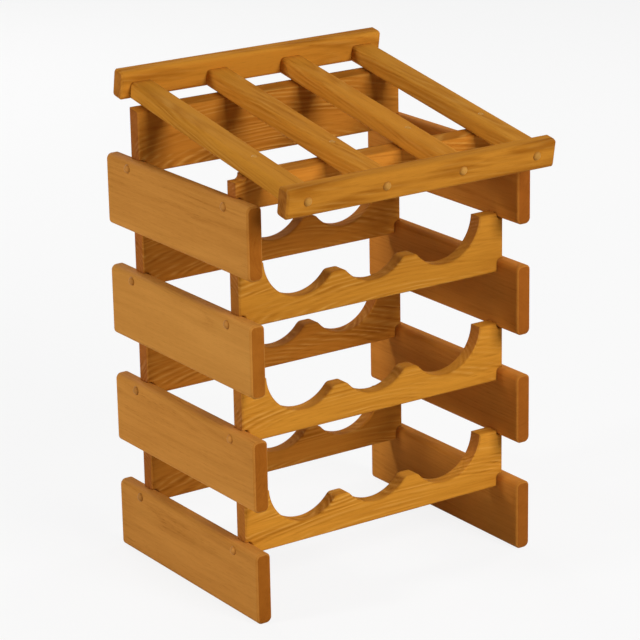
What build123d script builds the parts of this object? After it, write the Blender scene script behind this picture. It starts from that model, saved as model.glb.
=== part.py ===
"""Stacked wooden wine rack with a sloped display top, in millimetres.

The rack stands on the floor at Z = 0 and faces -Y. The origin is at floor
level, in the middle of the box that the whole rack fills.
"""
import os
from math import cos, radians, sin, sqrt

from build123d import *

# Boards and side slats
board = 19.0
rack_width = 383.0
slat_length = 295.5
slat_height = 83.5
slat_round = 6.5
slat_end_ease = 2.0
tier_pitch = 132.5
tier_count = 4

# Cradle rails, notched between the slats
rail_inset = 37.5
rail_tab = 8.0
rail_drop = 15.0
horn_rise = 6.0
cradle_radius = 50.0
cradle_pitch = 97.5
cradle_web = 23.0
crest_rise = 20.0
crest_round = 8.0
rail_ease = 1.5
notch_slack = 0.5

# Supports that carry the display top
display_slope = 10.0
display_lift = 39.5
shoulder_height = 17.0
shoulder_round = 5.0

# Display top: two rails joined by four runners
display_margin = 12.5
display_rail_height = 33.5
display_round = 4.5
display_end_ease = 2.0
front_rail_drop = 8.0
rear_rail_drop = 0.5
front_overhang = 86.2
rear_overhang = 30.2
runner_width = 29.5
runner_thickness = 20.0
runner_inset = 11.5

# Domed pegs
peg_shank = 8.0
peg_head = 10.5
peg_dome = 3.5
peg_drop = 9.0
peg_depth = 20.0
peg_clearance = 0.1
peg_end_gap = 0.5

# Small pins that hold the runners down on the front support
pin_shank = 5.0
pin_head = 6.5
pin_dome = 1.2
pin_depth = 15.0

# Slack when picking points at a known place
pick_slack = 0.01

# Places worked out from the sizes above
inner_x = rack_width / 2 - board
tab_x = inner_x + rail_tab
slat_gap = tier_pitch - slat_height
rail_y = slat_length / 2 - rail_inset - board / 2
top_z = (tier_count - 1) * tier_pitch + slat_height
peg_hole = peg_shank / 2 + peg_clearance
pin_hole = pin_shank / 2 + peg_clearance
notch_round = min(slat_round, rail_tab - rail_ease, peg_drop - peg_hole) - notch_slack
horn_notch_round = min(notch_round, horn_rise - rail_ease - notch_slack)
display_x = rack_width / 2 - display_margin
outer_runner_x = display_x - runner_inset - runner_width / 2
runner_x = [-outer_runner_x, -outer_runner_x / 3, outer_runner_x / 3, outer_runner_x]
runner_peg_z = runner_thickness / 2
slope_sin = sin(radians(display_slope))
slope_cos = cos(radians(display_slope))
seat_reach = rail_y / slope_cos
runner_front = seat_reach + front_overhang
runner_rear = seat_reach + rear_overhang

# Depth of the whole box on each side of the slats' middle
front_peg_reach = (runner_front + board + peg_dome) * slope_cos + runner_peg_z * slope_sin
front_lip_reach = (
    (runner_front + board - display_round) * slope_cos
    + (display_rail_height - front_rail_drop - display_round) * slope_sin
    + display_round
)
rear_peg_reach = (runner_rear + board + peg_dome) * slope_cos - runner_peg_z * slope_sin
rear_lip_reach = (
    (runner_rear + board - display_round) * slope_cos
    + (rear_rail_drop - display_round) * slope_sin
    + display_round
)
rack_y = (max(front_peg_reach, front_lip_reach) - max(rear_peg_reach, rear_lip_reach)) / 2

# The plane of the runners' undersides, and two planes across it
slope = Plane((0, rack_y, top_z + display_lift), x_dir=(1, 0, 0), z_dir=(0, -slope_sin, slope_cos))
slope_side = Plane(slope.origin, x_dir=slope.y_dir, z_dir=slope.x_dir)
slope_end = Plane(slope.origin, x_dir=slope.x_dir, z_dir=-slope.y_dir)


def save(piece, label):
    piece.label = label
    export_step(piece, f"parts/{label}.step")


def build_slat(label, side, tier):
    """One board of a side wall, with rounded long edges and eased ends."""
    centre_x = side * (rack_width - board) / 2
    centre_z = tier * tier_pitch + slat_height / 2
    peg_z = tier * tier_pitch + slat_height - peg_drop
    with BuildPart() as slat:
        with BuildSketch(Plane.XZ.offset(-rack_y)):
            with Locations((centre_x, centre_z)):
                RectangleRounded(board, slat_height, slat_round)
        extrude(amount=slat_length / 2, both=True)
        chamfer(slat.faces().filter_by(Axis.Y).edges(), slat_end_ease)
        with BuildSketch(Plane.YZ.offset(centre_x)):
            with Locations((rack_y - rail_y, peg_z), (rack_y + rail_y, peg_z)):
                Circle(peg_hole)
        extrude(amount=board, both=True, mode=Mode.SUBTRACT)
    save(slat.part, label)


def build_cradle_rail(label, centre_y, tier):
    """A rail with three scallops whose end tabs lie between two slats."""
    bottom_z = tier * tier_pitch + slat_height - rail_drop
    rail_height = rail_drop + slat_gap + horn_rise
    cradle_z = bottom_z + cradle_web + cradle_radius
    crest_z = bottom_z + cradle_web + crest_rise
    crest_land = cradle_pitch - 2 * sqrt(cradle_radius**2 - (cradle_radius - crest_rise) ** 2)
    with BuildPart() as rail:
        with BuildSketch(Plane.XZ.offset(-centre_y)) as outline:
            with Locations((0, bottom_z)):
                Rectangle(2 * inner_x, rail_height, align=(Align.CENTER, Align.MIN))
            with Locations((0, bottom_z + rail_drop)):
                Rectangle(2 * tab_x, slat_gap, align=(Align.CENTER, Align.MIN))
            with Locations((0, crest_z)):
                Rectangle(2 * cradle_pitch, rail_height, align=(Align.CENTER, Align.MIN), mode=Mode.SUBTRACT)
            with Locations((-cradle_pitch, cradle_z), (0, cradle_z), (cradle_pitch, cradle_z)):
                Circle(cradle_radius, mode=Mode.SUBTRACT)
            crests = outline.vertices().filter_by_position(Axis.Y, crest_z - pick_slack, crest_z + pick_slack)
            crests = crests.filter_by_position(Axis.X, -cradle_pitch, cradle_pitch)
            fillet(crests, min(crest_round, crest_land / 2))
            slat_top_z = bottom_z + rail_drop
            for notch_z, radius in ((slat_top_z, notch_round), (slat_top_z + slat_gap, horn_notch_round)):
                notches = outline.vertices().filter_by_position(Axis.Y, notch_z - pick_slack, notch_z + pick_slack)
                fillet(notches.filter_by_position(Axis.X, -inner_x - pick_slack, inner_x + pick_slack), radius)
        extrude(amount=board / 2, both=True)
        chamfer(rail.faces().filter_by(Axis.Y).edges(), rail_ease)
        for side in (-1, 1):
            with BuildSketch(Plane.YZ.offset(side * inner_x)):
                with Locations((centre_y, bottom_z + rail_drop - peg_drop)):
                    Circle(peg_hole)
            extrude(amount=-side * (peg_depth + peg_end_gap), mode=Mode.SUBTRACT)
    save(rail.part, label)


def build_support(label, centre_y, front):
    """A board on the top slats, bevelled to the display slope; the front one has shoulders and pins."""
    bottom_z = top_z - rail_drop
    full_height = rail_drop + display_lift + (abs(rail_y) + board) * slope_sin / slope_cos
    with BuildPart() as support:
        with BuildSketch(Plane.XZ.offset(-centre_y)) as outline:
            with Locations((0, bottom_z)):
                Rectangle(2 * inner_x, full_height, align=(Align.CENTER, Align.MIN))
            with Locations((0, top_z)):
                Rectangle(2 * tab_x, full_height - rail_drop, align=(Align.CENTER, Align.MIN))
            if front:
                shoulder_z = top_z + shoulder_height
                with Locations((-tab_x, shoulder_z), (tab_x, shoulder_z)):
                    Rectangle(
                        2 * (rail_tab + shoulder_round),
                        full_height,
                        align=(Align.CENTER, Align.MIN),
                        mode=Mode.SUBTRACT,
                    )
                corners = outline.vertices().filter_by_position(
                    Axis.Y, shoulder_z - pick_slack, shoulder_z + pick_slack
                )
                fillet(corners.sort_by(Axis.X)[1:-1], shoulder_round)
            notches = outline.vertices().filter_by_position(Axis.Y, top_z - pick_slack, top_z + pick_slack)
            fillet(notches.filter_by_position(Axis.X, -inner_x - pick_slack, inner_x + pick_slack), notch_round)
        extrude(amount=board / 2, both=True)
        chamfer(support.faces().filter_by(Axis.Y).edges(), rail_ease)
        split(bisect_by=slope, keep=Keep.BOTTOM)
        for side in (-1, 1):
            with BuildSketch(Plane.YZ.offset(side * inner_x)):
                with Locations((centre_y, bottom_z + rail_drop - peg_drop)):
                    Circle(peg_hole)
            extrude(amount=-side * (peg_depth + peg_end_gap), mode=Mode.SUBTRACT)
        if front:
            with BuildSketch(slope):
                with Locations([(x, -seat_reach) for x in runner_x]):
                    Circle(pin_hole)
            extrude(amount=-(pin_depth + peg_end_gap), mode=Mode.SUBTRACT)
    save(support.part, label)


def build_display_rail(label, near_y, drop):
    """A cross board of the display top, rounded like a slat and pegged to the runners."""
    with BuildPart() as rail:
        with BuildSketch(slope_side):
            with Locations((near_y, display_rail_height / 2 - drop)):
                RectangleRounded(board, display_rail_height, display_round)
        extrude(amount=display_x, both=True)
        chamfer(rail.faces().filter_by(Axis.X).edges(), display_end_ease)
        with BuildSketch(slope_end.offset(-near_y)):
            with Locations([(x, runner_peg_z) for x in runner_x]):
                Circle(peg_hole)
        extrude(amount=board, both=True, mode=Mode.SUBTRACT)
    save(rail.part, label)


def build_runner(label, centre_x):
    """A bar along the slope that carries the sides of two neighbours' places."""
    end_depth = peg_depth + peg_end_gap
    with BuildPart() as runner:
        with BuildSketch(slope_end.offset(runner_front)):
            with Locations((centre_x, runner_thickness / 2)):
                RectangleRounded(runner_width, runner_thickness, display_round)
        extrude(amount=-(runner_front + runner_rear))
        with BuildSketch(slope_end.offset(runner_front)):
            with Locations((centre_x, runner_peg_z)):
                Circle(peg_hole)
        extrude(amount=-end_depth, mode=Mode.SUBTRACT)
        with BuildSketch(slope_end.offset(-runner_rear)):
            with Locations((centre_x, runner_peg_z)):
                Circle(peg_hole)
        extrude(amount=end_depth, mode=Mode.SUBTRACT)
        with BuildSketch(slope):
            with Locations((centre_x, -seat_reach)):
                Circle(pin_hole)
        extrude(amount=runner_thickness, mode=Mode.SUBTRACT)
    save(runner.part, label)


def build_pegs(label, seats, length, shank=peg_shank, head=peg_head, dome=peg_dome):
    """Domed pegs, one on each seat plane, whose normal points out of the wood."""
    with BuildPart() as pegs:
        for seat in seats:
            with BuildSketch(Plane(seat.origin, x_dir=seat.x_dir, z_dir=-seat.y_dir)):
                with BuildLine():
                    TangentArc((0, dome), (head / 2, 0), tangent=(1, 0))
                    Polyline((head / 2, 0), (shank / 2, 0), (shank / 2, -length), (0, -length), (0, dome))
                make_face()
            revolve(axis=Axis(seat.origin, seat.z_dir))
    save(pegs.part, label)


os.makedirs("parts", exist_ok=True)

# Side walls, tier 1 at the floor
for tier in range(tier_count):
    build_slat(f"left_slat_{tier + 1}", -1, tier)
    build_slat(f"right_slat_{tier + 1}", 1, tier)

# Cradle rails above each tier but the top one
for tier in range(tier_count - 1):
    build_cradle_rail(f"front_cradle_rail_{tier + 1}", rack_y - rail_y, tier)
    build_cradle_rail(f"rear_cradle_rail_{tier + 1}", rack_y + rail_y, tier)

# Supports and display top
build_support("front_top_support", rack_y - rail_y, True)
build_support("rear_top_support", rack_y + rail_y, False)
build_display_rail("display_front_rail", -(runner_front + board / 2), front_rail_drop)
build_display_rail("display_rear_rail", runner_rear + board / 2, rear_rail_drop)
for name, centre_x in zip(("left", "mid_left", "mid_right", "right"), runner_x):
    build_runner(f"display_runner_{name}", centre_x)

# Pegs through the slats into the rails and supports
for name, side in (("left", -1), ("right", 1)):
    slat_seats = []
    for tier in range(tier_count):
        for centre_y in (rack_y - rail_y, rack_y + rail_y):
            peg_place = (side * rack_width / 2, centre_y, tier * tier_pitch + slat_height - peg_drop)
            slat_seats.append(Plane(peg_place, x_dir=(0, 1, 0), z_dir=(side, 0, 0)))
    build_pegs(f"{name}_slat_pegs", slat_seats, board + peg_depth)

# Pegs through the display rails into the runners, and pins down into the front support
front_face = slope_end.offset(runner_front + board)
rear_face = slope_end.offset(-(runner_rear + board))
front_seats = []
rear_seats = []
pin_seats = []
for x in runner_x:
    front_place = front_face.from_local_coords((x, runner_peg_z, 0))
    rear_place = rear_face.from_local_coords((x, runner_peg_z, 0))
    front_seats.append(Plane(front_place, x_dir=slope.x_dir, z_dir=-slope.y_dir))
    rear_seats.append(Plane(rear_place, x_dir=slope.x_dir, z_dir=slope.y_dir))
    pin_place = slope.from_local_coords((x, -seat_reach, runner_thickness))
    pin_seats.append(Plane(pin_place, x_dir=slope.x_dir, z_dir=slope.z_dir))
build_pegs("display_front_pegs", front_seats, board + peg_depth)
build_pegs("display_rear_pegs", rear_seats, board + peg_depth)
build_pegs("display_seat_pegs", pin_seats, runner_thickness + pin_depth, pin_shank, pin_head, pin_dome)
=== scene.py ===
import math
import random
from dataclasses import dataclass, replace

import bpy
from mathutils import Matrix, Vector


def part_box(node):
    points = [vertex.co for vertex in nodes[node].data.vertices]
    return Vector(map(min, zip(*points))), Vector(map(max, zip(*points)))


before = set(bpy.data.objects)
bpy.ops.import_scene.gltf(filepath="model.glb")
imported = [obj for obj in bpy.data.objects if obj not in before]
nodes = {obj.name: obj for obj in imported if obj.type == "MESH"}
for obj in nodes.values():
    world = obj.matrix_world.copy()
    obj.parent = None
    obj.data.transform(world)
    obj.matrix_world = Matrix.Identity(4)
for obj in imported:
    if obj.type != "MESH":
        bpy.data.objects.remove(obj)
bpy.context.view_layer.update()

# The middle of the slats, read from the frame, and the slope of the display top
slat_low, slat_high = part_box("left_slat_1")
MIDDLE_Y = (slat_low.y + slat_high.y) / 2
SLOPE = math.radians(10.0)

# Directions that grain and pegs run in
ALONG_X = Vector((1, 0, 0))
ALONG_Y = Vector((0, 1, 0))
UP = Vector((0, 0, 1))
ALONG_SLOPE = Vector((0, math.cos(SLOPE), math.sin(SLOPE)))
OFF_SLOPE = Vector((0, -math.sin(SLOPE), math.cos(SLOPE)))

# Stained oak, in linear colour
LATE_WOOD = (0.560, 0.232, 0.024)
EARLY_WOOD = (0.360, 0.125, 0.009)
PALE_WOOD = (0.665, 0.335, 0.066)
PORE = (0.190, 0.058, 0.005)
SLAT_PEG = (0.480, 0.204, 0.042)
DISPLAY_PEG = (0.485, 0.232, 0.044)
# Painted shade for the sides of the peg domes
PEG_RIM_SHADE = (0.290, 0.098, 0.008)
UNTINTED = (1.0, 1.0, 1.0)
WHITE = (1.0, 1.0, 1.0, 1.0)

# Sockets of the Mix node that hold colours
MIX_FIRST = 6
MIX_SECOND = 7
MIX_RESULT = 2

# How far apart pieces may lie in the noise, so that no two look alike
NOISE_SPAN = 50.0


class Graph:
    """Short calls that add and join the nodes of one material or sky."""

    def __init__(self, owner):
        owner.use_nodes = True
        self.owner = owner
        self.nodes = owner.node_tree.nodes
        self.links = owner.node_tree.links
        self.nodes.clear()

    def add(self, kind, **settings):
        node = self.nodes.new(kind)
        for key, value in settings.items():
            setattr(node, key, value)
        return node

    def feed(self, socket, value):
        if isinstance(value, bpy.types.NodeSocket):
            self.links.new(value, socket)
        else:
            socket.default_value = value

    def math(self, operation, first, second=0.0, clamp=False):
        node = self.add("ShaderNodeMath", operation=operation, use_clamp=clamp)
        self.feed(node.inputs[0], first)
        self.feed(node.inputs[1], second)
        return node.outputs[0]

    def product(self, first, *others):
        for other in others:
            first = self.math("MULTIPLY", first, other)
        return first

    def vector(self, operation, first, second):
        node = self.add("ShaderNodeVectorMath", operation=operation)
        self.feed(node.inputs[0], first)
        self.feed(node.inputs[1], second)
        return node.outputs["Value"] if operation == "DOT_PRODUCT" else node.outputs["Vector"]

    def combine(self, x, y, z):
        node = self.add("ShaderNodeCombineXYZ")
        for socket, value in zip(node.inputs, (x, y, z)):
            self.feed(socket, value)
        return node.outputs[0]

    def noise(self, vector, detail=2.0, roughness=0.5):
        node = self.add("ShaderNodeTexNoise")
        self.feed(node.inputs["Vector"], vector)
        node.inputs["Scale"].default_value = 1.0
        node.inputs["Detail"].default_value = detail
        node.inputs["Roughness"].default_value = roughness
        return node.outputs["Fac"]

    def swing(self, noise, amount):
        """Noise round 0 in place of 0.5, times this amount."""
        return self.math("MULTIPLY", self.math("SUBTRACT", noise, 0.5), amount)

    def step(self, value, low, high, start=0.0, end=1.0):
        """A soft step from start to end, where the value goes from low to high."""
        node = self.add("ShaderNodeMapRange", interpolation_type="SMOOTHSTEP")
        for socket, given in zip(node.inputs, (value, low, high, start, end)):
            self.feed(socket, given)
        return node.outputs[0]

    def mix(self, factor, first, second, blend="MIX"):
        node = self.add("ShaderNodeMix", data_type="RGBA", blend_type=blend)
        self.feed(node.inputs[0], factor)
        self.feed(node.inputs[MIX_FIRST], first)
        self.feed(node.inputs[MIX_SECOND], second)
        return node.outputs[MIX_RESULT]

    def facing(self, direction):
        """1 where the surface faces this direction or its opposite, and 0 where it lies along it."""
        normal = self.add("ShaderNodeNewGeometry").outputs["Normal"]
        return self.math("ABSOLUTE", self.vector("DOT_PRODUCT", normal, direction))

    def seen(self):
        """1 for what the camera sees, straight or by way of gloss or glass, and 0 for other light."""
        paths = self.add("ShaderNodeLightPath").outputs
        straight = self.math("MAXIMUM", paths["Is Camera Ray"], paths["Is Transmission Ray"])
        return self.math("MAXIMUM", straight, paths["Is Glossy Ray"])

    def bump(self, height, strength, depth):
        node = self.add("ShaderNodeBump")
        node.inputs["Strength"].default_value = strength
        node.inputs["Distance"].default_value = depth
        self.feed(node.inputs["Height"], height)
        return node

    def blend(self, share, first, second):
        node = self.add("ShaderNodeMixShader")
        self.feed(node.inputs[0], share)
        self.feed(node.inputs[1], first.outputs[0])
        self.feed(node.inputs[2], second.outputs[0])
        return node

    def end_in(self, output, shader):
        self.feed(self.add(output).inputs["Surface"], shader.outputs[0])

    def end_in_satin(self, wood, bump, roughness, gloss):
        """Ends a material in satin wood of this colour."""
        satin = self.add("ShaderNodeBsdfPrincipled")
        self.feed(satin.inputs["Base Color"], wood)
        self.feed(satin.inputs["Normal"], bump.outputs["Normal"])
        self.feed(satin.inputs["Roughness"], roughness)
        satin.inputs["Specular IOR Level"].default_value = gloss
        self.end_in("ShaderNodeOutputMaterial", satin)


def colour(rgb, gain=1.0, warmth=0.0, tint=UNTINTED):
    """A linear colour made lighter or darker, redder or yellower, and tinted, for one piece."""
    red, green, blue = [part * share for part, share in zip(rgb, tint)]
    return (red * gain, green * gain * (1 - warmth), blue * gain * (1 - 2 * warmth), 1.0)


def noise_place(draw):
    """A place in the noise for one piece."""
    return Vector([draw.uniform(0, NOISE_SPAN) for axis in range(3)])


@dataclass
class Cut:
    """How a kind of board was sawn and stained.

    ring_width is in metres. rings, pale_rings, streaks and patches say how strongly each shows.
    pith_across and pith_through are ranges of the pith's distance from the middle of the board, in metres,
    and lean is the range of the pith's slope through it. tint and end_tint scale the colour of the faces
    and of the end grain; in several cuts they also carry painted sheen or painted shade.
    """

    ring_width: float
    rings: float
    pale_rings: float
    streaks: float
    patches: float
    pith_across: tuple
    pith_through: tuple
    lean: tuple
    tint: tuple
    end_tint: tuple


# Slats are quiet, cradle rails show arched rings, and the display top has long streaks and patches
SLAT_CUT = Cut(
    ring_width=0.0042,
    rings=0.30,
    pale_rings=0.10,
    streaks=0.60,
    patches=0.70,
    pith_across=(-0.070, 0.070),
    pith_through=(0.035, 0.090),
    lean=(0.010, 0.040),
    # The slats' far bluer tint is painted sheen: a pale veil of reflected light laid into their colour.
    tint=(1.06, 1.095, 2.00),
    end_tint=(0.60, 0.44, 0.24),
)
RAIL_CUT = Cut(
    ring_width=0.0050,
    rings=0.80,
    pale_rings=0.60,
    streaks=0.90,
    patches=0.80,
    pith_across=(-0.080, -0.050),
    pith_through=(-0.015, 0.015),
    lean=(0.220, 0.330),
    tint=UNTINTED,
    # The rails' end_tint is partly the end grain's darker stain and partly painted sheen, a pale bluish
    # veil of reflected light.
    end_tint=(0.68, 0.575, 0.90),
)
DISPLAY_CUT = Cut(
    ring_width=0.0048,
    rings=0.50,
    pale_rings=0.30,
    streaks=0.80,
    patches=4.00,
    pith_across=(-0.050, 0.050),
    pith_through=(0.035, 0.080),
    lean=(0.030, 0.090),
    tint=(1.00, 0.975, 0.97),
    end_tint=(0.73, 0.65, 0.85),
)

# The right slats, rear rails and supports are drawn deeper and redder as painted shade, the shade inside
# the rack, and the runners are stained more evenly. The right slats also carry less of the slats' painted
# sheen.
RIGHT_SLAT_CUT = replace(SLAT_CUT, tint=(0.97, 0.90, 1.30), end_tint=(0.59, 0.455, 0.37))
SHADE_TINTED_RAIL_CUT = replace(RAIL_CUT, tint=(0.98, 0.89, 1.00))
RUNNER_CUT = replace(DISPLAY_CUT, patches=1.40)

# Boards drawn lighter or darker than the rest: the darkening of the top front rail, the rear rails and the
# rear support is painted shade, and the other values make single boards lighter or darker
LIGHTNESS = {
    "left_slat_2": 1.04,
    "left_slat_3": 0.96,
    "front_cradle_rail_1": 1.15,
    "front_cradle_rail_2": 1.04,
    "front_cradle_rail_3": 0.92,
    "rear_cradle_rail_1": 0.93,
    "rear_cradle_rail_2": 0.93,
    "rear_cradle_rail_3": 0.93,
    "rear_top_support": 0.90,
    "display_front_rail": 0.89,
    "display_rear_rail": 1.06,
}

# Ranges that each board draws from: its tone, its warmth and the pith's slope across it
TONES = (0.94, 1.05)
WARMTHS = (-0.03, 0.03)
SIDE_LEANS = (-0.04, 0.04)
EITHER_SIDE = (-1, 1)

# Noise in the oak, in waves a metre along the grain and across it
WANDER_WAVES = (5.0, 28.0)
RIPPLE_WAVES = (22.0, 120.0)
FADE_WAVES = (6.0, 40.0)
BREAK_WAVES = (18.0, 260.0)
CLEAR_WAVES = (7.0, 55.0)
FIBRE_WAVES = (10.0, 620.0)
STREAK_WAVES = (4.0, 150.0)
CLOUD_WAVES = (3.0, 16.0)
PATCH_WAVES = (8.0, 60.0)
PORE_WAVES = (75.0, 2100.0)

# Soft steps in the oak: low, high and, where they aren't 0 and 1, start and end
EARLY_RISE = (0.0, 0.26)
EARLY_FALL = (0.26, 0.80, 1.0, 0.0)
PALE_RISE = (0.35, 0.75)
PALE_FALL = (0.78, 1.0, 1.0, 0.0)
FADE_STEP = (0.34, 0.68, 0.12, 1.0)
BREAK_STEP = (0.38, 0.60, 0.25, 1.0)
CLEAR_STEP = (0.40, 0.62)
PORE_STEP = (0.56, 0.72)
END_STEP = (0.55, 0.95)

# Growth rings: how far they wander, in metres, and how the years differ
WANDER = 0.012
RIPPLE = 0.0022
YEAR_WAVES = 0.55
YEAR_SPREAD = 1.6
FAINTEST_YEAR = 0.2

# How strongly each mark darkens the oak, and the share of pores outside the early wood
FIBRES = 0.65
STREAKS = 0.95
CLOUDS = 0.55
OVERALL = 0.22
PORES = 0.65
LATE_PORES = 0.25

# Surface of the oak: bump as strength and depth in metres, and the radius of its sanded edges
OAK_BUMP = (0.30, 0.00025)
EARLY_DEPTH = 0.25
EDGE_RADIUS = 0.003
EDGE_SAMPLES = 8
OAK_GLOSS = 0.02
OAK_ROUGHNESS = 0.54
PORE_ROUGHNESS = 0.18
END_ROUGHNESS = 0.10
CLOUD_ROUGHNESS = 0.16


@dataclass
class Log:
    """How one board lay in its log and took the stain."""

    tone: float
    warmth: float
    pith_across: float
    pith_through: float
    lean_across: float
    lean_through: float
    shift: Vector


def draw_log(cut, lightness, seed):
    """The log of one board, the same each time for one seed."""
    draw = random.Random(seed)
    return Log(
        # For some boards the lightness, and so the tone, carries painted shade.
        tone=draw.uniform(*TONES) * lightness,
        warmth=draw.uniform(*WARMTHS),
        pith_across=draw.uniform(*cut.pith_across),
        pith_through=draw.choice(EITHER_SIDE) * draw.uniform(*cut.pith_through),
        lean_across=draw.uniform(*SIDE_LEANS),
        lean_through=draw.choice(EITHER_SIDE) * draw.uniform(*cut.lean),
        shift=noise_place(draw),
    )


class Board(Graph):
    """The material of one board, measured along its grain, across its wide face and through it."""

    def __init__(self, name, centre, grain, across, shift):
        super().__init__(bpy.data.materials.new(name))
        self.shift = shift
        local = self.vector("SUBTRACT", self.add("ShaderNodeTexCoord").outputs["Object"], centre)
        self.along = self.vector("DOT_PRODUCT", local, grain)
        self.side = self.vector("DOT_PRODUCT", local, across)
        self.deep = self.vector("DOT_PRODUCT", local, grain.cross(across))
        self.place = self.combine(self.along, self.side, self.deep)

    def grain_noise(self, waves, detail=2.0, roughness=0.5):
        """Noise drawn out along the grain."""
        along, across = waves
        stretched = self.vector("MULTIPLY", self.place, (along, across, across))
        return self.noise(self.vector("ADD", stretched, self.shift), detail, roughness)


def growth_rings(g, cut, log):
    """The dark early wood and the pale late wood of each year, round a leaning, wandering pith."""
    wander = g.swing(g.grain_noise(WANDER_WAVES), WANDER)
    ripple = g.swing(g.grain_noise(RIPPLE_WAVES), RIPPLE)
    side = g.math("ADD", g.side, g.math("MULTIPLY", g.along, log.lean_across))
    deep = g.math("ADD", g.deep, g.math("MULTIPLY", g.along, log.lean_through))
    u = g.math("SUBTRACT", side, log.pith_across)
    v = g.math("SUBTRACT", deep, log.pith_through)
    squares = g.math("ADD", g.math("MULTIPLY", u, u), g.math("MULTIPLY", v, v))
    radius = g.math("ADD", g.math("SQRT", squares), g.math("ADD", wander, ripple))

    # Years differ in width and in strength
    year = g.math("DIVIDE", radius, cut.ring_width)
    uneven = g.noise(g.combine(g.math("MULTIPLY", year, YEAR_WAVES), log.shift.x, log.shift.y), detail=1.0)
    year = g.math("ADD", year, g.math("MULTIPLY", uneven, YEAR_SPREAD))
    ring = g.math("FRACT", year)
    chance = g.add("ShaderNodeTexWhiteNoise", noise_dimensions="1D")
    g.feed(chance.inputs["W"], g.math("FLOOR", year))
    strength = g.math("MULTIPLY", chance.outputs["Value"], 1 - FAINTEST_YEAR)
    strength = g.math("ADD", strength, FAINTEST_YEAR)

    # Rings fade and break along the board
    fade = g.step(g.grain_noise(FADE_WAVES), *FADE_STEP)
    broken = g.step(g.grain_noise(BREAK_WAVES), *BREAK_STEP)
    clear = g.step(g.grain_noise(CLEAR_WAVES), *CLEAR_STEP)
    early = g.product(g.step(ring, *EARLY_RISE), g.step(ring, *EARLY_FALL), strength, fade, broken)
    pale = g.product(g.step(ring, *PALE_RISE), g.step(ring, *PALE_FALL), clear, broken)
    return early, pale


def oak(name, centre, grain, across, seed, cut, lightness):
    """Flat-sawn stained oak, cut from a log whose rings run through the whole board."""
    log = draw_log(cut, lightness, seed)
    g = Board(name, centre, grain, across, log.shift)
    early, pale = growth_rings(g, cut, log)

    # Fine fibres, open pores and broad changes of tone
    fibre = g.grain_noise(FIBRE_WAVES, detail=3.0, roughness=0.6)
    streak = g.grain_noise(STREAK_WAVES, detail=3.0, roughness=0.55)
    cloud = g.grain_noise(CLOUD_WAVES)
    patch = g.grain_noise(PATCH_WAVES)
    pores = g.step(g.grain_noise(PORE_WAVES, detail=1.0), *PORE_STEP)
    crowded = g.math("ADD", g.math("MULTIPLY", early, 1 - LATE_PORES), LATE_PORES)
    pores = g.math("MULTIPLY", pores, crowded)

    # Colour of the faces: the cut's tint and the board's tone carry painted sheen or painted shade for
    # some boards
    dark = g.math("MULTIPLY", early, cut.rings)
    dark = g.math("ADD", dark, g.swing(fibre, FIBRES * cut.streaks))
    dark = g.math("ADD", dark, g.swing(streak, STREAKS * cut.streaks))
    dark = g.math("ADD", dark, g.swing(cloud, CLOUDS))
    dark = g.math("ADD", dark, g.swing(patch, cut.patches))
    dark = g.math("ADD", dark, OVERALL, clamp=True)
    late_colour = colour(LATE_WOOD, log.tone, log.warmth, cut.tint)
    early_colour = colour(EARLY_WOOD, log.tone, log.warmth, cut.tint)
    wood = g.mix(dark, late_colour, early_colour)
    wood = g.mix(g.math("MULTIPLY", pale, cut.pale_rings), wood, colour(PALE_WOOD, log.tone, log.warmth))
    wood = g.mix(g.math("MULTIPLY", pores, PORES), wood, colour(PORE, log.tone, log.warmth))

    # End grain drinks more stain, and on the rails its tint also carries painted sheen
    end = g.step(g.facing(grain), *END_STEP)
    wood = g.mix(end, wood, g.mix(1.0, wood, (*cut.end_tint, 1.0), "MULTIPLY"))

    # Pores and early wood lie lower, and edges are sanded soft
    hollow = g.math("ADD", pores, g.math("MULTIPLY", early, EARLY_DEPTH))
    bump = g.bump(g.math("SUBTRACT", 0.0, hollow), *OAK_BUMP)
    sanded = g.add("ShaderNodeBevel", samples=EDGE_SAMPLES)
    sanded.inputs["Radius"].default_value = EDGE_RADIUS
    g.feed(bump.inputs["Normal"], sanded.outputs["Normal"])

    rough = g.math("MULTIPLY", pores, PORE_ROUGHNESS)
    rough = g.math("ADD", rough, g.math("MULTIPLY", end, END_ROUGHNESS))
    rough = g.math("ADD", rough, g.math("MULTIPLY", cloud, CLOUD_ROUGHNESS))
    rough = g.math("ADD", rough, OAK_ROUGHNESS)
    g.end_in_satin(wood, bump, rough, OAK_GLOSS)
    return g.owner


# Pegs: noise in waves a metre, soft steps and bump as for the oak
FLECK_WAVES = 900.0
TONE_WAVES = 9.0
FLECK_STEP = (0.52, 0.75, 0.0, 0.55)
TONE_STEP = (0.35, 0.65)
RIM_STEP = (0.35, 0.80, 0.75, 0.0)
LIGHTER_PEG = 1.06
DARKER_PEG = 0.92
PEG_BUMP = (0.2, 0.0002)
PEG_GLOSS = 0.04
PEG_ROUGHNESS = 0.42


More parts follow.
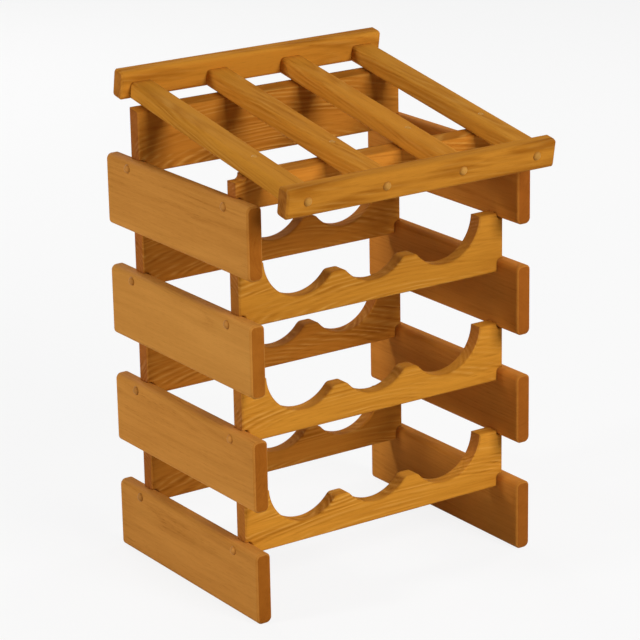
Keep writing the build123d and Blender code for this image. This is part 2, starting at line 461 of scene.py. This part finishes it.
def peg_wood(name, pale, axis, seed):
    """Turned end grain of small domed pegs: fine flecks, and painted shade darkening the sides of the
    domes towards their rims.
    """
    shift = noise_place(random.Random(seed))
    g = Graph(bpy.data.materials.new(name))
    place = g.add("ShaderNodeTexCoord").outputs["Object"]
    fleck_place = g.vector("MULTIPLY", place, (FLECK_WAVES, FLECK_WAVES, FLECK_WAVES))
    tone_place = g.vector("MULTIPLY", place, (TONE_WAVES, TONE_WAVES, TONE_WAVES))
    fleck = g.noise(g.vector("ADD", fleck_place, shift), detail=3.0, roughness=0.6)
    tone = g.noise(g.vector("ADD", tone_place, shift), detail=0.0)
    wood = g.mix(g.step(tone, *TONE_STEP), colour(pale, LIGHTER_PEG), colour(pale, DARKER_PEG))
    wood = g.mix(g.step(fleck, *FLECK_STEP), wood, colour(EARLY_WOOD))
    # Painted shade: the dome darkens where its surface turns away from the peg's axis.
    wood = g.mix(g.step(g.facing(axis), *RIM_STEP), wood, colour(PEG_RIM_SHADE))
    g.end_in_satin(wood, g.bump(fleck, *PEG_BUMP), PEG_ROUGHNESS, PEG_GLOSS)
    return g.owner


def grain_of(name):
    """The direction of the grain, and the direction across the board's wide face."""
    if "runner" in name:
        return ALONG_SLOPE, ALONG_X
    if "slat" in name:
        return ALONG_Y, UP
    if "display" in name:
        return ALONG_X, OFF_SLOPE
    return ALONG_X, UP


def cut_of(name):
    """The cut of this board's kind."""
    if "right_slat" in name:
        return RIGHT_SLAT_CUT
    if "slat" in name:
        return SLAT_CUT
    if "runner" in name:
        return RUNNER_CUT
    if "display" in name:
        return DISPLAY_CUT
    if "rear" in name or "support" in name:
        return SHADE_TINTED_RAIL_CUT
    return RAIL_CUT


def peg_kind(name):
    """The colour and the axis of these pegs."""
    if "slat" in name:
        return SLAT_PEG, ALONG_X
    if "seat" in name:
        return DISPLAY_PEG, OFF_SLOPE
    return DISPLAY_PEG, ALONG_SLOPE


# Faces that meet at more than this angle, in degrees, keep a sharp edge, and large faces stay flat
SHARP_ANGLE = 50.0
FACE_WEIGHT = 100


def shade(piece):
    """Smooth shading over the rounded faces."""
    piece.data.shade_smooth()
    piece.data.set_sharp_from_angle(angle=math.radians(SHARP_ANGLE))
    soften = piece.modifiers.new("soft_edges", "WEIGHTED_NORMAL")
    soften.weight = FACE_WEIGHT
    soften.keep_sharp = True


def dress(piece, material):
    piece.data.materials.clear()
    piece.data.materials.append(material)


# Every board gets its own cut of oak, and every group of pegs its own turned wood
for number, name in enumerate(sorted(nodes)):
    piece = nodes[name]
    shade(piece)
    if name.endswith("pegs"):
        pale, axis = peg_kind(name)
        dress(piece, peg_wood(name + "_wood", pale, axis, number))
    else:
        low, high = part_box(name)
        grain, across = grain_of(name)
        lightness = LIGHTNESS.get(name, 1.0)
        dress(piece, oak(name + "_wood", (low + high) / 2, grain, across, number, cut_of(name), lightness))

# Floor and sky: the floor's grey, the share of white that the camera sees in it, and the sky's light
FLOOR_SIZE = 40.0
FLOOR_GREY = 0.66
FLOOR_WHITE = 0.86
SKY_LIGHT = 0.045


def floor_material():
    """A pale floor that the camera sees as white, with the rack's soft shadow kept."""
    g = Graph(bpy.data.materials.new("pale_floor"))
    matt = g.add("ShaderNodeBsdfDiffuse")
    matt.inputs["Color"].default_value = (FLOOR_GREY, FLOOR_GREY, FLOOR_GREY, 1.0)
    glow = g.add("ShaderNodeEmission")
    glow.inputs["Color"].default_value = WHITE
    glow.inputs["Strength"].default_value = 1.0
    share = g.math("MULTIPLY", g.seen(), FLOOR_WHITE)
    g.end_in("ShaderNodeOutputMaterial", g.blend(share, matt, glow))
    return g.owner


def lay_floor():
    reach = FLOOR_SIZE / 2
    corners = [(-reach, -reach, 0), (reach, -reach, 0), (reach, reach, 0), (-reach, reach, 0)]
    mesh = bpy.data.meshes.new("floor")
    mesh.from_pydata(corners, [], [(0, 1, 2, 3)])
    mesh.materials.append(floor_material())
    floor = bpy.data.objects.new("floor", mesh)
    bpy.context.scene.collection.objects.link(floor)


def light_sky():
    """A sky that the camera sees as white, and that lights the rack only a little."""
    g = Graph(bpy.data.worlds.new("studio"))
    light = g.add("ShaderNodeBackground")
    light.inputs["Color"].default_value = WHITE
    light.inputs["Strength"].default_value = SKY_LIGHT
    white = g.add("ShaderNodeBackground")
    white.inputs["Color"].default_value = WHITE
    g.end_in("ShaderNodeOutputWorld", g.blend(g.seen(), light, white))
    bpy.context.scene.world = g.owner


# Lamps stand at one distance from the middle of the rack, in metres
LAMP_DISTANCE = 3.4
LAMP_TARGET = Vector((0, MIDDLE_Y, 0.27))


def softbox(name, azimuth, elevation, size, power):
    """A square lamp seen from the rack at these angles, with 0 in front and 90 to the right."""
    lamp = bpy.data.lights.new(name, "AREA")
    lamp.size = size
    lamp.energy = power
    holder = bpy.data.objects.new(name, lamp)
    bpy.context.scene.collection.objects.link(holder)
    turn = math.radians(azimuth)
    lift = math.radians(elevation)
    away = Vector((math.sin(turn) * math.cos(lift), -math.cos(turn) * math.cos(lift), math.sin(lift)))
    place = LAMP_TARGET + away * LAMP_DISTANCE
    holder.location = place
    holder.rotation_euler = (LAMP_TARGET - place).to_track_quat("-Z", "Y").to_euler()


lay_floor()
light_sky()
softbox("key", azimuth=8, elevation=30, size=1.4, power=97)
softbox("left_side", azimuth=-100, elevation=20.5, size=0.5, power=60)
softbox("right_side", azimuth=98, elevation=20.5, size=1.2, power=40)
softbox("back_fill", azimuth=172, elevation=24, size=1.6, power=46)

# The photograph's camera: lengths in metres, the sensor in millimetres, pixels of a 640 pixel frame
PICTURE = 640
SENSOR = 36.0
CAMERA_AZIMUTH = math.radians(34.136)
CAMERA_ELEVATION = math.radians(18.130)
CAMERA_ROLL = math.radians(-1.0447)
CAMERA_DISTANCE = 3.21857
CAMERA_TARGET = Vector((0.005516, MIDDLE_Y, 0.27008))
FOCAL_PIXELS = 2776.28
PRINCIPAL_X = 324.91
PRINCIPAL_Y = 328.08
FAR_CLIP = 100.0


def camera_axes():
    """The camera's right, top and forward directions."""
    forward = Vector(
        (
            math.sin(CAMERA_AZIMUTH) * math.cos(CAMERA_ELEVATION),
            math.cos(CAMERA_AZIMUTH) * math.cos(CAMERA_ELEVATION),
            -math.sin(CAMERA_ELEVATION),
        )
    )
    level = Vector((math.cos(CAMERA_AZIMUTH), -math.sin(CAMERA_AZIMUTH), 0))
    upward = level.cross(forward)
    right = level * math.cos(CAMERA_ROLL) + upward * math.sin(CAMERA_ROLL)
    top = upward * math.cos(CAMERA_ROLL) - level * math.sin(CAMERA_ROLL)
    return right, top, forward


right, top, forward = camera_axes()
turned = Matrix((right, top, -forward)).transposed().to_4x4()
lens = bpy.data.cameras.new("camera")
lens.sensor_width = SENSOR
lens.lens = FOCAL_PIXELS / PICTURE * SENSOR
lens.shift_x = (PICTURE / 2 - PRINCIPAL_X) / PICTURE
lens.shift_y = (PRINCIPAL_Y - PICTURE / 2) / PICTURE
lens.clip_end = FAR_CLIP
camera = bpy.data.objects.new("camera", lens)
bpy.context.scene.collection.objects.link(camera)
camera.matrix_world = Matrix.Translation(CAMERA_TARGET - forward * CAMERA_DISTANCE) @ turned
bpy.context.scene.camera = camera
bpy.context.scene.view_settings.view_transform = "Standard"
